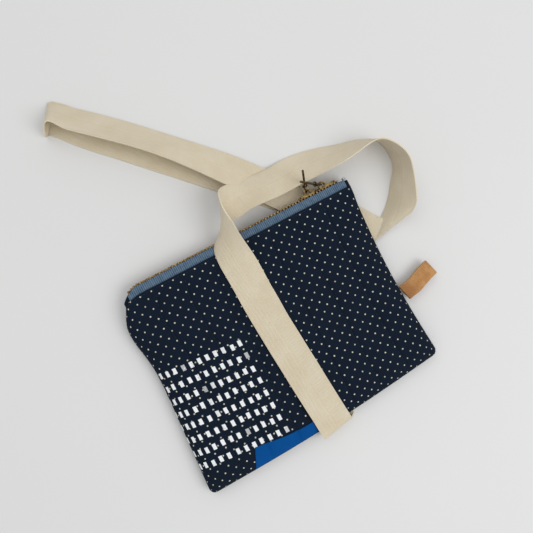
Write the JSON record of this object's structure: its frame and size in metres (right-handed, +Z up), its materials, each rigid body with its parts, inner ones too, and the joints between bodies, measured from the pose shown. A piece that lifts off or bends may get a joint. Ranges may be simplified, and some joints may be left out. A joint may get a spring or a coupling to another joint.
{
  "type": "wristlet wallet",
  "caption": "Small quilted fabric zip pouch lying flat, with two zip sliders, a folded leather side tag and a long flat wrist strap wound once round it.",
  "frame": {"origin": "on the table under the middle of the pouch, at the underside of its back panel", "axes": "+X along the zip, from the pouch's left side seam to its right; +Y across the pouch, towards the zip; +Z up, out of the pouch's front"},
  "size_m": [0.2365, 0.3065, 0.0334],
  "materials": {
    "cotton_print": "navy woven cotton with a cream pin dot, quilted in upright channels, with a printed block of white rectangles",
    "wadding": "soft white polyester wadding",
    "lining": "plain grey cotton lining",
    "blue_cotton": "bright blue woven cotton",
    "zip_tape": "slate blue ribbed zip tape",
    "zip_brass": "antique brass zip teeth, worn bright on top",
    "slider_brass": "dark antique brass, worn at the edges",
    "bright_metal": "bright nickel",
    "tan_leather": "tan vegetable leather with pale cut edges",
    "twill_tape": "cream cotton herringbone twill tape",
    "thread": "cream sewing thread"
  },
  "bodies": {
    "pouch": {"back_panel": "cotton_print", "back_wadding": "wadding", "back_lining": "lining", "front_lining": "lining", "front_wadding": "wadding", "front_panel": "cotton_print", "blue_patch": "blue_cotton", "zip_tape_front": "zip_tape", "zip_tape_back": "zip_tape", "zip_teeth_front": "zip_brass", "zip_teeth_back": "zip_brass", "zip_stop_left": "zip_brass", "zip_stop_right": "bright_metal", "zip_tab_left": "cotton_print", "zip_tab_right": "cotton_print", "leather_tag": "tan_leather", "strap": "twill_tape", "strap_stitching": "thread"},
    "slider_a": {"slider_a": "slider_brass"},
    "pull_a": {"pull_a_ring": "slider_brass", "pull_a_rod": "slider_brass"},
    "slider_b": {"slider_b": "slider_brass"},
    "pull_b": {"pull_b_ring": "slider_brass", "pull_b_rod": "slider_brass"}
  },
  "joints": [
    {"name": "slider_a_travel", "type": "slide", "parent": "pouch", "child": "slider_a", "axis": [1, 0, 0], "range_m": [-0.138, 0], "deforming": ["strap"]},
    {"name": "pull_a_swing", "type": "hinge", "parent": "slider_a", "child": "pull_a", "pos_m": [0.0643, 0.083, 0.0075], "axis": [0, 0, 1], "range_deg": [-10, 88]},
    {"name": "slider_b_travel", "type": "slide", "parent": "pouch", "child": "slider_b", "axis": [1, 0, 0], "range_m": [0, 0.005]},
    {"name": "pull_b_swing", "type": "hinge", "parent": "slider_b", "child": "pull_b", "pos_m": [0.0766, 0.083, 0.0075], "axis": [0, 0, 1], "range_deg": [-2, 22]}
  ]
}
